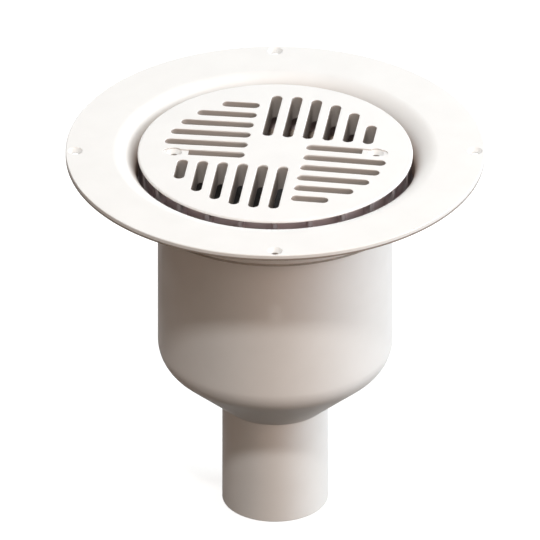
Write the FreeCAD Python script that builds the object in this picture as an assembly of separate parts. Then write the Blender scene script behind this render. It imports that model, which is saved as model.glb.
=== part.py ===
"""Floor drain with a wide floor flange, a slotted grate, a clamping ring and a lift-out water trap.

Frame: millimetres, +Z up. The origin is the centre of the flange's underside, where it lies on the
floor deck, and -Y is the front. The spigot points straight down. Each piece is made with its heights
measured from floor level, the flange's top face, so depths are negative, and main() raises it by the
flange's thickness into that frame.
"""
import FreeCAD, Part

import math
import os

# Floor flange around the throat, and its four fixing holes
THROAT_R = 98.8
FLANGE_WIDTH = 49.7
FLANGE_T = 3.2
FLANGE_EDGE = 0.8
FIXING_COUNT = 4
FIXING_INSET = 6.9
FIXING_R = 2.45
FIXING_SINK_R = 5.3

# Throat, bowl, cone and spigot of the moulded body
WALL = 2.5
LIP_ROUND = 17.2
COLLAR_ROOT = 14.0
COLLAR_DEPTH = 35.0
COLLAR_FOOT = 3.0
LEDGE_WIDTH = 18.1
BOWL_DEPTH = 152.0
HIP_ROUND = 23.4
CONE_ANGLE = math.radians(41.2)
SPIGOT_R = 37.5
SPIGOT_LENGTH = 79.4
SPIGOT_BEVEL = 0.8
SMALL_ROUND = 1.0
TRAP_RIB_COUNT = 6
TRAP_RIB_REACH = 3.0
TRAP_RIB_T = 2.5
TRAP_BELOW_COLLAR = 25.0

# Grate: a crowned plate with four blocks of round-ended slots, each block turned by a quarter
GRATE_PLAY = 1.3
GRATE_PLATE = 3.0
GRATE_CROWN = 1.4
GRATE_ROUND = 1.4
PATTERN_TURN = -7.5
SLOT_COUNT = 6
SLOT_WIDTH = 7.6
LAST_ROW_INSET = 12.85
SLOT_FIRST = -8.65
SLOT_START = 24.6
SLOT_FAN = 0.27
RIM_BAND = 21.5
SLOT_DEPTH = 18.7
SLOT_WALL = 2.0
RIB_T = 2.0
RIB_DEPTH = 14.0
LOCATOR_DEPTH = 7.0

# Screw places of the grate: a slot that closes into a channel with a countersunk hole
SCREW_INSET = 5.0
SCREW_R = 2.75
SCREW_SINK_R = 5.5
CHANNEL_LENGTH = 10.0
CHANNEL_DEPTH = 1.0
BOSS_R = 6.6
BOSS_DEPTH = 8.0

# Clamping ring with upright posts, which stands on the ledge and carries the grate
POST_COUNT = 24
POST_WIDTH = 3.1
POST_REACH = 9.5
COVERING_GAP = 2.1
RING_WALL = 2.5
RING_TOP_GAP = 0.4
RING_FOOT_T = 2.5
LUG_R = 6.4
LUG_HEIGHT = 12.0
ARM_WIDTH = 8.0
ARM_DROP = 3.7
INSERT_R = 3.4
INSERT_BORE_R = 2.1
INSERT_LENGTH = 8.0

# Water trap: an inlet funnel with a dip tube, sealed in the bowl, and a cup that hangs on its fins
TRAP_WALL = 2.2
COLLAR_BAND = 11.0
GROOVE_DEPTH = 2.7
GROOVE_WIDTH = 4.0
SEAL_R = 1.5
DIP_R = 30.0
DIP_ABOVE_HIP = 8.0
FUNNEL_DROP = 24.0
GRIP_WIDTH = 4.0
GRIP_HEIGHT = 9.0
OVERFLOW_GAP = 18.5
CUP_RIM_DROP = 10.0
CUP_FLOOR_GAP = 12.0
CUP_ROUND = 8.0
FIN_COUNT = 3
FIN_T = 2.0
FIN_TOP_GAP = 16.0
HOOK_DROP = 5.0
HOOK_HEIGHT = 3.4
HOOK_REACH = 3.0
HOOK_WIDTH = 8.0
HOOK_PLAY = 1.2

# Clearances
SLIDE = 0.4
REST_GAP = 0.3
TINY = 0.05

UP = FreeCAD.Vector(0, 0, 1)
CENTRE = FreeCAD.Vector(0, 0, 0)

# Levels and radii that several pieces share
FLANGE_R = THROAT_R + FLANGE_WIDTH
FIXING_CIRCLE_R = FLANGE_R - FIXING_INSET
LEDGE_Z = WALL - COLLAR_DEPTH
BORE_R = THROAT_R - LEDGE_WIDTH
BOWL_R = BORE_R + WALL
GRATE_R = THROAT_R - GRATE_PLAY
SLOT_REACH_R = GRATE_R - RIM_BAND
SLOT_PITCH = (SLOT_REACH_R - LAST_ROW_INSET - SLOT_FIRST) / (SLOT_COUNT - 1)
SCREW_AT = SLOT_REACH_R - SCREW_INSET
CHANNEL_START = SCREW_AT - CHANNEL_LENGTH
GRATE_SEAT_Z = -GRATE_PLATE
POST_R = THROAT_R - COVERING_GAP
RING_R = POST_R - POST_REACH
HIP_Z = -BOWL_DEPTH - HIP_ROUND * math.tan((math.pi / 2 - CONE_ANGLE) / 2)
CONE_END_Z = HIP_Z - (BOWL_R - SPIGOT_R) * math.tan(CONE_ANGLE)
SPIGOT_END_Z = CONE_END_Z - SPIGOT_LENGTH
TRAP_SEAT_Z = -COLLAR_DEPTH - TRAP_BELOW_COLLAR
TRAP_R = BORE_R - SLIDE
TRAP_TOP_Z = TRAP_SEAT_Z + COLLAR_BAND
TRAP_INNER_R = TRAP_R - GROOVE_DEPTH - TRAP_WALL
SEAL_Z = TRAP_SEAT_Z + COLLAR_BAND / 2
FUNNEL_Z = TRAP_SEAT_Z - FUNNEL_DROP
DIP_END_DEPTH = BOWL_DEPTH - DIP_ABOVE_HIP
CUP_R = BORE_R - OVERFLOW_GAP
CUP_RIM_DEPTH = CUP_RIM_DROP - FUNNEL_Z
CUP_BORE_R = CUP_R - TRAP_WALL
HOOK_Z = -CUP_RIM_DEPTH - HOOK_DROP - HOOK_HEIGHT


def at(radius, angle, height=0.0):
    """Point at a radius and an angle in degrees about the drain's axis."""
    turn = math.radians(angle)
    return FreeCAD.Vector(radius * math.cos(turn), radius * math.sin(turn), height)


def turned(shape, angle):
    """Copy of a shape, turned about the drain's axis by an angle in degrees."""
    copy = shape.copy()
    copy.rotate(CENTRE, UP, angle)
    return copy


def block(x_range, y_range, z_range):
    """Box between two limits along each axis."""
    low, high = zip(x_range, y_range, z_range)
    size = [b - a for a, b in zip(low, high)]
    return Part.makeBox(*size, FreeCAD.Vector(*low))


def disc(radius, z_low, z_high, x=0.0, y=0.0):
    """Upright cylinder between two heights."""
    return Part.makeCylinder(radius, z_high - z_low, FreeCAD.Vector(x, y, z_low))


def rounded_outline(corners):
    """Closed wire in the XZ plane from (radius, height, rounding) corners."""
    points = [FreeCAD.Vector(r, 0, z) for r, z, _ in corners]
    pieces = []
    for i, (_, _, rounding) in enumerate(corners):
        here = points[i]
        back = (points[i - 1] - here).normalize()
        on = (points[(i + 1) % len(points)] - here).normalize()
        if rounding == 0:
            pieces.append((here, None, here))
            continue
        half = back.getAngle(on) / 2
        reach = rounding / math.tan(half)
        inward = (back + on).normalize()
        middle = here + inward * (rounding / math.sin(half) - rounding)
        pieces.append((here + back * reach, middle, here + on * reach))
    edges = []
    for i, (start, middle, end) in enumerate(pieces):
        if middle is not None:
            edges.append(Part.Arc(start, middle, end).toShape())
        following = pieces[(i + 1) % len(pieces)][0]
        if end.distanceToPoint(following) > 1e-6:
            edges.append(Part.LineSegment(end, following).toShape())
    return Part.Wire(edges)


def turned_solid(corners):
    """Solid of revolution about the drain's axis."""
    face = Part.Face(rounded_outline(corners))
    return face.revolve(CENTRE, UP, 360)


def stadium(width, x_start, x_end, y, z_low, z_high, square_end=False):
    """Round-ended bar along X. Its end centres are x_start and x_end; the far end may be square."""
    half = width / 2
    bar = block((x_start, x_end), (y - half, y + half), (z_low, z_high))
    ends = [disc(half, z_low, z_high, x_start, y)]
    if not square_end:
        ends.append(disc(half, z_low, z_high, x_end, y))
    return bar.multiFuse(ends).removeSplitter()


def countersunk_hole(x, y, z_top, radius, sink_radius, z_bottom):
    """Cutter for a 90 degree countersunk hole whose mouth stays wide above z_top."""
    drop = sink_radius - radius
    mouth = disc(sink_radius, z_top, z_top + FLANGE_T, x, y)
    cone = Part.makeCone(radius, sink_radius, drop, FreeCAD.Vector(x, y, z_top - drop))
    shank = disc(radius, z_bottom - SMALL_ROUND, z_top, x, y)
    return mouth.multiFuse([cone, shank])


def make_drain_body():
    """Flange, throat, ledge, bowl, cone and spigot as one moulding."""
    slope = math.tan(CONE_ANGLE)
    lift = WALL / math.cos(CONE_ANGLE)
    spigot_bore = SPIGOT_R - WALL
    body = turned_solid([
        (SPIGOT_R, SPIGOT_END_Z, SPIGOT_BEVEL),
        (SPIGOT_R, CONE_END_Z, SMALL_ROUND),
        (BOWL_R, HIP_Z, HIP_ROUND),
        (BOWL_R, -COLLAR_DEPTH, SMALL_ROUND),
        (THROAT_R + WALL, -COLLAR_DEPTH, COLLAR_FOOT),
        (THROAT_R + WALL, -FLANGE_T, COLLAR_ROOT),
        (FLANGE_R, -FLANGE_T, FLANGE_EDGE),
        (FLANGE_R, 0, FLANGE_EDGE),
        (THROAT_R, 0, LIP_ROUND),
        (THROAT_R, LEDGE_Z, SMALL_ROUND),
        (BORE_R, LEDGE_Z, SMALL_ROUND),
        (BORE_R, HIP_Z - WALL * slope + lift, HIP_ROUND - WALL),
        (spigot_bore, HIP_Z - (BOWL_R - spigot_bore) * slope + lift, SMALL_ROUND + WALL),
        (spigot_bore, SPIGOT_END_Z, 0),
    ])
    rib = block((BORE_R - TRAP_RIB_REACH, BOWL_R - WALL / 2),
                (-TRAP_RIB_T / 2, TRAP_RIB_T / 2), (-BOWL_DEPTH, TRAP_SEAT_Z))
    body = body.multiFuse([turned(rib, 30 + i * 360 / TRAP_RIB_COUNT) for i in range(TRAP_RIB_COUNT)])
    holes = []
    for i in range(FIXING_COUNT):
        place = at(FIXING_CIRCLE_R, i * 360 / FIXING_COUNT)
        holes.append(countersunk_hole(place.x, place.y, 0, FIXING_R, FIXING_SINK_R, -FLANGE_T))
    return body.cut(holes)


def slot_rows():
    """Rows of one block along X, as (offset, start, end); in two blocks the first one is the screw row."""
    rows = []
    for i in range(SLOT_COUNT):
        offset = SLOT_FIRST + i * SLOT_PITCH
        rows.append((offset, SLOT_START - i * SLOT_FAN, math.sqrt(SLOT_REACH_R ** 2 - offset ** 2)))
    return rows


def crown_z(radius):
    """Height of the grate's crowned top at a radius."""
    sphere_r = (GRATE_R ** 2 + GRATE_CROWN ** 2) / (2 * GRATE_CROWN)
    return math.sqrt(sphere_r ** 2 - radius ** 2) - sphere_r


def make_grate_plate():
    """Crowned round plate with a rounded rim and a flat underside."""
    middle = FreeCAD.Vector(GRATE_R / 2, 0, crown_z(GRATE_R / 2))
    rim = FreeCAD.Vector(GRATE_R, 0, crown_z(GRATE_R))
    low_rim = FreeCAD.Vector(GRATE_R, 0, GRATE_SEAT_Z)
    low_centre = FreeCAD.Vector(0, 0, GRATE_SEAT_Z)
    outline = Part.Wire([
        Part.Arc(CENTRE, middle, rim).toShape(),
        Part.LineSegment(rim, low_rim).toShape(),
        Part.LineSegment(low_rim, low_centre).toShape(),
        Part.LineSegment(low_centre, CENTRE).toShape(),
    ])
    plate = Part.Face(outline).revolve(CENTRE, UP, 360)
    side = crown_z(GRATE_R) - GRATE_SEAT_Z
    top_edges = [e for e in plate.Edges if abs(e.BoundBox.ZMin - rim.z) < 1e-6 and e.BoundBox.ZLength < 1e-6]
    return plate.makeFillet(min(GRATE_ROUND, 0.9 * side), top_edges)


def make_grate_block(with_screw_place):
    """Walls and openings of one block of slots, before the block is turned into place."""
    bottom = -SLOT_DEPTH
    joined = GRATE_SEAT_Z + GRATE_PLATE / 8
    walls, openings = [], []
    for offset, start, end in slot_rows():
        screw_row = with_screw_place and offset == SLOT_FIRST
        slot_end = CHANNEL_START if screw_row else end
        wall_end = slot_end + SLOT_WALL if screw_row else slot_end
        walls.append(stadium(SLOT_WIDTH + 2 * SLOT_WALL, start, wall_end, -offset,
                             bottom, joined, screw_row))
        openings.append(stadium(SLOT_WIDTH, start, slot_end, -offset,
                                bottom - WALL, GRATE_PLATE, screw_row))
        if screw_row:
            floor_z = crown_z(SCREW_AT) - CHANNEL_DEPTH
            walls.append(disc(BOSS_R, -BOSS_DEPTH, joined, SCREW_AT, -offset))
            openings.append(stadium(SLOT_WIDTH, start, end, -offset, floor_z, GRATE_PLATE))
            openings.append(countersunk_hole(SCREW_AT, -offset, floor_z, SCREW_R, SCREW_SINK_R,
                                             -BOSS_DEPTH))
    rib_y = (SLOT_FIRST - SLOT_START) / 2
    rib = block((rib_y - RIB_T / 2, SLOT_REACH_R), (-rib_y - RIB_T / 2, -rib_y + RIB_T / 2),
                (-RIB_DEPTH, joined))
    return walls + [rib], openings


def make_grate():
    """Grate: plate, slot walls, stiffening ribs, locating rib and the two screw places."""
    walls, openings = [], []
    for quarter in range(4):
        block_walls, block_openings = make_grate_block(with_screw_place=quarter % 2 == 0)
        angle = PATTERN_TURN + 90 * quarter
        walls += [turned(shape, angle) for shape in block_walls]
        openings += [turned(shape, angle) for shape in block_openings]
    locator_r = RING_R - SLIDE
    joined = GRATE_SEAT_Z + GRATE_PLATE / 8
    locator = disc(locator_r, -LOCATOR_DEPTH, joined).cut(disc(locator_r - RIB_T, -LOCATOR_DEPTH, joined))
    solid = make_grate_plate().multiFuse(walls + [locator])
    return solid.cut(openings)


def screw_angle():
    """Angle of the grate's first screw about the drain's axis, in degrees."""
    return PATTERN_TURN + math.degrees(math.atan2(-SLOT_FIRST, SCREW_AT))


def screw_radius():
    """Distance of the grate's screws from the drain's axis."""
    return math.hypot(SCREW_AT, SLOT_FIRST)


def make_clamp_ring():
    """Ring wall with a centring foot, 24 posts and two lugs for the grate's screws."""
    wall = disc(RING_R + RING_WALL, LEDGE_Z, GRATE_SEAT_Z - RING_TOP_GAP)
    foot = disc(THROAT_R - SLIDE, LEDGE_Z + SMALL_ROUND, LEDGE_Z + SMALL_ROUND + RING_FOOT_T)
    shapes = [foot]
    post = block((RING_R, POST_R), (-POST_WIDTH / 2, POST_WIDTH / 2), (LEDGE_Z + SMALL_ROUND, GRATE_SEAT_Z))
    shapes += [turned(post, i * 360 / POST_COUNT) for i in range(POST_COUNT)]
    ring = wall.multiFuse(shapes).cut(disc(RING_R, LEDGE_Z - WALL, 0))
    lug_top = -BOSS_DEPTH - REST_GAP
    lug_z = (lug_top - LUG_HEIGHT, lug_top)
    lugs, holes = [], []
    for i in range(2):
        angle = screw_angle() + 180 * i
        arm = block((screw_radius(), RING_R + RING_WALL / 2), (-ARM_WIDTH / 2, ARM_WIDTH / 2),
                    (lug_z[0], lug_top - ARM_DROP))
        lugs.append(turned(arm, angle))
        lugs.append(turned(disc(LUG_R, *lug_z, screw_radius()), angle))
        hole = disc(INSERT_R + TINY, lug_top - INSERT_LENGTH, 0, screw_radius())
        holes.append(turned(hole, angle))
    return ring.multiFuse(lugs).cut(holes)


def make_screw_inserts():
    """Two threaded sleeves, one in each lug of the clamping ring."""
    top = -BOSS_DEPTH - REST_GAP
    sleeve = disc(INSERT_R, top - INSERT_LENGTH, top, screw_radius())
    sleeve = sleeve.cut(disc(INSERT_BORE_R, top - INSERT_LENGTH, top, screw_radius()))
    return Part.Compound([turned(sleeve, screw_angle() + 180 * i) for i in range(2)])


def make_trap_funnel():
    """Sealed inlet collar, cone, dip tube, grip bar and three fins, as one moulding."""
    groove_r = TRAP_R - GROOVE_DEPTH
    low_groove = SEAL_Z - GROOVE_WIDTH / 2
    high_groove = SEAL_Z + GROOVE_WIDTH / 2
    tube_z = FUNNEL_Z
    mouth_z = TRAP_SEAT_Z + TRAP_WALL
    body = turned_solid([
        (TRAP_R, TRAP_TOP_Z, 0), (TRAP_R, high_groove, 0),
        (groove_r, high_groove, 0), (groove_r, low_groove, 0),
        (TRAP_R, low_groove, 0), (TRAP_R, TRAP_SEAT_Z, 0),
        (TRAP_INNER_R, TRAP_SEAT_Z, 0),
        (DIP_R, tube_z, SMALL_ROUND), (DIP_R, -DIP_END_DEPTH, 0),
        (DIP_R - TRAP_WALL, -DIP_END_DEPTH, 0), (DIP_R - TRAP_WALL, tube_z + TRAP_WALL, 2 * TRAP_WALL),
        (TRAP_INNER_R, mouth_z, SMALL_ROUND), (TRAP_INNER_R, TRAP_TOP_Z, 0),
    ])
    cone = turned_solid([
        (0, mouth_z, 0), (TRAP_INNER_R, mouth_z, 0), (DIP_R, tube_z + TRAP_WALL / 2, 0),
        (0, tube_z + TRAP_WALL / 2, 0),
    ])
    grip = block((-TRAP_INNER_R, TRAP_INNER_R), (-GRIP_WIDTH / 2, GRIP_WIDTH / 2),
                 (mouth_z - GRIP_HEIGHT, mouth_z)).common(cone)
    fin_r = CUP_BORE_R - SLIDE
    top_z = tube_z
    end_z = -DIP_END_DEPTH + TRAP_WALL
    outline = [(DIP_R - TRAP_WALL / 2, top_z), (DIP_R + FIN_TOP_GAP / 2, top_z - FIN_TOP_GAP / 4),
               (fin_r, -CUP_RIM_DEPTH - HOOK_DROP / 4), (fin_r, end_z), (DIP_R - TRAP_WALL / 2, end_z)]
    points = [FreeCAD.Vector(r, -FIN_T / 2, z) for r, z in outline]
    fin = Part.Face(Part.makePolygon(points + points[:1])).extrude(FreeCAD.Vector(0, FIN_T, 0))
    notch = block((CUP_BORE_R - HOOK_REACH - HOOK_PLAY, CUP_R), (-FIN_T, FIN_T),
                  (HOOK_Z, HOOK_Z + HOOK_HEIGHT + HOOK_PLAY))
    fin = fin.cut(notch)
    fins = [turned(fin, i * 360 / FIN_COUNT) for i in range(FIN_COUNT)]
    return body.multiFuse([grip] + fins)


def make_trap_cup():
    """Cup that holds the water seal, with three hooks that hang on the funnel's fins."""
    floor_z = -DIP_END_DEPTH - CUP_FLOOR_GAP
    cup = turned_solid([
        (0, floor_z - TRAP_WALL, 0), (CUP_R, floor_z - TRAP_WALL, CUP_ROUND),
        (CUP_R, -CUP_RIM_DEPTH, 0), (CUP_BORE_R, -CUP_RIM_DEPTH, 0),
        (CUP_BORE_R, floor_z, CUP_ROUND - TRAP_WALL), (0, floor_z, 0),
    ])
    hook = block((CUP_BORE_R - HOOK_REACH, CUP_R - TRAP_WALL / 2), (-HOOK_WIDTH / 2, HOOK_WIDTH / 2),
                 (HOOK_Z, HOOK_Z + HOOK_HEIGHT))
    return cup.multiFuse([turned(hook, i * 360 / FIN_COUNT) for i in range(FIN_COUNT)])


def make_trap_seal():
    """Rubber ring in the funnel's groove, pressed lightly against the bowl."""
    centre_r = (TRAP_R - GROOVE_DEPTH + BORE_R) / 2
    return Part.makeTorus(centre_r, SEAL_R, FreeCAD.Vector(0, 0, SEAL_Z))


def main():
    """Build each piece, raise it into the frame and write it to its own file."""
    pieces = {
        "drain_body": make_drain_body(),
        "clamp_ring": make_clamp_ring(),
        "screw_inserts": make_screw_inserts(),
        "grate": make_grate(),
        "trap_funnel": make_trap_funnel(),
        "trap_cup": make_trap_cup(),
        "trap_seal": make_trap_seal(),
    }
    os.makedirs("parts", exist_ok=True)
    for name, shape in pieces.items():
        tidy = shape.removeSplitter()
        tidy.translate(FreeCAD.Vector(0, 0, FLANGE_T))
        print(f"{name}: {len(tidy.Solids)} solid(s), {tidy.Volume / 1000:.1f} cm3, valid {tidy.isValid()}")
        tidy.exportStep(f"parts/{name}.step")


main()
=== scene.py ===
"""Floor drain of white moulded plastic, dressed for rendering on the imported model's frame.

The frame is in metres, +Z up, with its origin at the centre of the flange's underside. Shapes are
worked out here in millimetres with heights measured from floor level, the flange's top face, and
moved into the frame as they are put into a mesh.
"""

import logging
import math
from dataclasses import dataclass, field
from enum import Enum
from typing import Callable, Sequence

import bmesh
import bpy
import numpy as np
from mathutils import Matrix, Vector
from mathutils.geometry import delaunay_2d_cdt


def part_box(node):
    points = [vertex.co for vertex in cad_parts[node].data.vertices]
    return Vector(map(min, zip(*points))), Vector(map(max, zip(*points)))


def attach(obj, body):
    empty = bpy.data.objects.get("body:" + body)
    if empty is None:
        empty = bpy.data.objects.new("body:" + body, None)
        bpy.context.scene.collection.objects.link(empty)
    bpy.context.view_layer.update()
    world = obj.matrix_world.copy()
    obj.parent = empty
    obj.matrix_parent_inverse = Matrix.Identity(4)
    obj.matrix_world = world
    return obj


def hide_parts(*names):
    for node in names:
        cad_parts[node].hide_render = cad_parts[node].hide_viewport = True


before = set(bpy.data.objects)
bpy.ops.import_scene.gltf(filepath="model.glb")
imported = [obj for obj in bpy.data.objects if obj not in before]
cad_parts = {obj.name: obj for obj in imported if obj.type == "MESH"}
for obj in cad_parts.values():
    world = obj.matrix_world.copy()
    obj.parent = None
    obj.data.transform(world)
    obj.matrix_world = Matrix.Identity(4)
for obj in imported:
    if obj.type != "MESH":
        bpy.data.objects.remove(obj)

MM = 0.001                        # one millimetre in the frame's metres
FLOOR_LEVEL = 3.2                 # height of the flange's top in the frame, in mm
WELD = 2e-6                       # distance in metres at which points are merged
TOUCH = 1e-6                      # distance in mm at which points count as one
TRIANGLE_TOLERANCE = 1e-7         # the triangulation's own, in mm
INNER_GAP = 0.7                   # share of the spacing that inner points keep from an edge
ARC_STEPS = (4, 28)               # fewest and most chords of a rounding
SHARP_ANGLE = math.radians(32.0)  # edges sharper than this aren't smoothed

log = logging.getLogger("floor_drain")

Corner = tuple[float, float, float]
Height = Callable[[np.ndarray, np.ndarray], np.ndarray]
Tone = tuple[float, float, float]


class Part(Enum):
    """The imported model's nodes."""

    BODY = "drain_body"
    RING = "clamp_ring"
    INSERTS = "screw_inserts"
    GRATE = "grate"
    FUNNEL = "trap_funnel"
    CUP = "trap_cup"
    SEAL = "trap_seal"


class Slot(Enum):
    """The record's material slots of the pieces that are made here."""

    BODY = "body_plastic"
    GRATE = "grate_plastic"


@dataclass
class Skin:
    """A surface in millimetres from floor level.

    points has one row per point. quads and tris hold rows of point numbers.
    """

    points: np.ndarray
    quads: np.ndarray = field(default_factory=lambda: np.empty((0, 4), int))
    tris: np.ndarray = field(default_factory=lambda: np.empty((0, 3), int))

    def turned(self, angle: float) -> "Skin":
        """Copy turned about the drain's axis.

        Args:
            angle: the turn in degrees, from +X to +Y.

        Returns:
            The turned surface.
        """
        c, s = math.cos(math.radians(angle)), math.sin(math.radians(angle))
        spin = np.array([[c, s, 0.0], [-s, c, 0.0], [0.0, 0.0, 1.0]])
        return Skin(self.points @ spin, self.quads, self.tris)


def joined(skins: Sequence[Skin]) -> Skin:
    """One skin of several, with each one's point numbers moved past those before it."""
    starts = np.cumsum([0] + [len(s.points) for s in skins[:-1]])
    return Skin(
        np.concatenate([s.points for s in skins]),
        np.concatenate([s.quads + n for s, n in zip(skins, starts)]),
        np.concatenate([s.tris + n for s, n in zip(skins, starts)]),
    )


def grid_faces(rows: int, columns: int, closed_rows: bool, closed_columns: bool) -> np.ndarray:
    """Quads of a grid: each joins a point, the next in its row, and the two in the next row.

    Args:
        rows: number of rows of points.
        columns: number of points in a row.
        closed_rows: whether the last row joins the first.
        closed_columns: whether each row's last point joins its first.

    Returns:
        Rows of four point numbers.
    """
    i = np.arange(rows if closed_rows else rows - 1)[:, None]
    j = np.arange(columns if closed_columns else columns - 1)[None, :]
    on, over = (i + 1) % rows, (j + 1) % columns
    corners = [i * columns + j, i * columns + over, on * columns + over, on * columns + j]
    return np.stack(np.broadcast_arrays(*corners), axis=-1).reshape(-1, 4)


def rounded_path(corners: Sequence[Corner], closed: bool = False, step: float = 0.9) -> np.ndarray:
    """Path through corners whose rounding is an arc that touches both of the corner's sides.

    With h half the corner's inner angle and R its rounding, the arc starts R / tan h along each
    side and its centre lies R / sin h along the line that halves the angle.

    Args:
        corners: (radius, height, rounding) of each corner.
        closed: whether the last corner joins the first.
        step: longest chord of an arc, in mm.

    Returns:
        Rows of (radius, height).
    """
    places = np.array([c[:2] for c in corners], float)
    rows = []
    for i, (_, _, rounding) in enumerate(corners):
        here = places[i]
        at_end = not closed and i in (0, len(corners) - 1)
        if rounding == 0 or at_end:
            rows.append(here[None])
            continue
        back = places[i - 1] - here
        on = places[(i + 1) % len(places)] - here
        back, on = back / np.linalg.norm(back), on / np.linalg.norm(on)
        half = math.acos(np.clip(back @ on, -1, 1)) / 2
        middle = (back + on) / np.linalg.norm(back + on)
        centre = here + middle * rounding / math.sin(half)
        swing = math.pi / 2 - half
        count = int(np.clip(math.ceil(2 * swing * rounding / step), *ARC_STEPS))
        start = here + back * rounding / math.tan(half) - centre
        side = here + on * rounding / math.tan(half) - centre
        turn = math.atan2(start[0] * side[1] - start[1] * side[0], start @ side)
        t = np.linspace(0, turn, count + 1)[:, None]
        rows.append(centre + start * np.cos(t) + np.array([-start[1], start[0]]) * np.sin(t))
    return np.concatenate(rows)


def lathe(path: np.ndarray, segments: int, centre: tuple[float, float] = (0.0, 0.0),
          closed: bool = False) -> Skin:
    """Surface of revolution: point (r, z) at angle a lies at (x + r cos a, y + r sin a, z).

    Args:
        path: rows of (radius, height).
        segments: number of steps round the axis.
        centre: where the axis stands.
        closed: whether the path's last point joins its first.

    Returns:
        The turned surface.
    """
    a = np.linspace(0, 2 * math.pi, segments, endpoint=False)
    r, z = path[:, :1], path[:, 1:]
    x, y = centre[0] + r * np.cos(a), centre[1] + r * np.sin(a)
    points = np.stack(np.broadcast_arrays(x, y, z), axis=-1).reshape(-1, 3)
    return Skin(points, grid_faces(len(path), segments, closed, True))


def loft(rows: Sequence[np.ndarray], closed: bool = True) -> Skin:
    """Surface that joins outlines of equal length, each with rows of (x, y, z)."""
    return Skin(np.concatenate(rows), grid_faces(len(rows), len(rows[0]), False, closed))


def circle(radius: float, segments: int, x: float = 0.0, y: float = 0.0) -> np.ndarray:
    """Points round a circle, as rows of (x, y), with the same first angle as lathe's."""
    a = np.linspace(0, 2 * math.pi, segments, endpoint=False)
    return np.column_stack([x + radius * np.cos(a), y + radius * np.sin(a)])


def arc(x: float, y: float, radius: float, start: float, end: float, steps: int) -> np.ndarray:
    """Points of an arc about (x, y) between two angles in degrees, both ends included."""
    a = np.radians(np.linspace(start, end, steps + 1))
    return np.column_stack([x + radius * np.cos(a), y + radius * np.sin(a)])


def quarter_round(reach: float, steps: int) -> np.ndarray:
    """Quarter round as rows of (growth, drop), from the flat above it to the wall below it."""
    t = np.linspace(0, math.pi / 2, steps + 1)
    return reach * np.column_stack([1 - np.sin(t), 1 - np.cos(t)])


def turned_outline(outline: np.ndarray, angle: float) -> np.ndarray:
    """Outline of (x, y) rows turned about the drain's axis by an angle in degrees."""
    c, s = math.cos(math.radians(angle)), math.sin(math.radians(angle))
    return outline @ np.array([[c, s], [-s, c]])


def within(points: np.ndarray, loops: Sequence[np.ndarray]) -> np.ndarray:
    """Which points lie inside an odd number of loops.

    A line from the point towards +X is counted where it crosses a side of a loop.

    Args:
        points: rows of (x, y).
        loops: closed outlines, each with rows of (x, y).

    Returns:
        One truth value for each point.
    """
    start = np.concatenate(loops)
    end = np.concatenate([np.roll(loop, -1, axis=0) for loop in loops])
    x, y = points[:, :1], points[:, 1:]
    spans = (start[:, 1] > y) != (end[:, 1] > y)
    rise = np.where(end[:, 1] == start[:, 1], 1.0, end[:, 1] - start[:, 1])
    crossing = start[:, 0] + (y - start[:, 1]) / rise * (end[:, 0] - start[:, 0])
    return (spans & (crossing > x)).sum(axis=1) % 2 == 1


def filled(loops: Sequence[np.ndarray], height: Height, spacing: float) -> Skin:
    """Region between loops, as triangles of the loops' points and a grid of points inside.

    The grid keeps points that lie inside and clear of every loop point. Of the triangles that keep
    the loops' sides, those whose middle lies inside stay.

    Args:
        loops: the outer outline and its holes, each with rows of (x, y).
        height: gives the height at x and y.
        spacing: distance of the inner points.

    Returns:
        The filled surface.
    """
    edge = np.concatenate(loops)
    low, high = edge.min(axis=0), edge.max(axis=0)
    gx, gy = np.meshgrid(np.arange(low[0], high[0], spacing), np.arange(low[1], high[1], spacing))
    gx = gx + (np.arange(len(gx)) % 2)[:, None] * spacing / 2
    inner = np.column_stack([gx.ravel(), gy.ravel()])
    inner = inner[within(inner, loops)]
    if len(inner):
        gaps = np.linalg.norm(inner[:, None] - edge[None], axis=-1).min(axis=1)
        inner = inner[gaps > INNER_GAP * spacing]
    starts = np.cumsum([0] + [len(loop) for loop in loops[:-1]])
    sides = np.concatenate([
        np.column_stack([n + np.arange(len(p)), n + (np.arange(len(p)) + 1) % len(p)])
        for p, n in zip(loops, starts)])
    flat = np.concatenate([edge, inner])
    made = delaunay_2d_cdt(list(map(Vector, flat.tolist())), sides.tolist(), [], 0, TRIANGLE_TOLERANCE)
    places, tris = np.array([tuple(v) for v in made[0]]), np.array(made[2])
    tris = tris[within(places[tris].mean(axis=1), loops)]
    return Skin(np.column_stack([places, height(places[:, 0], places[:, 1])]), tris=tris)


def level(z: float) -> Height:
    """Height that is the same all over."""
    return lambda x, y: np.full(np.shape(x), z)


def raised(outline: np.ndarray, z: float | np.ndarray) -> np.ndarray:
    """Outline of (x, y) rows with a height added."""
    return np.column_stack([outline, np.broadcast_to(z, len(outline))])


def slab(low: Sequence[float], high: Sequence[float]) -> Skin:
    """Closed box. Each bit of a point's number picks the low or the high end of one axis.

    Args:
        low: its lowest corner.
        high: its highest corner.

    Returns:
        The box's surface.
    """
    ends = np.array([low, high], float)
    pick = (np.arange(8)[:, None] >> np.arange(3)) & 1
    quads = np.array([[0, 2, 3, 1], [4, 5, 7, 6], [0, 1, 5, 4],
                      [2, 6, 7, 3], [0, 4, 6, 2], [1, 3, 7, 5]])
    return Skin(ends[pick, np.arange(3)], quads)


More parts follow.
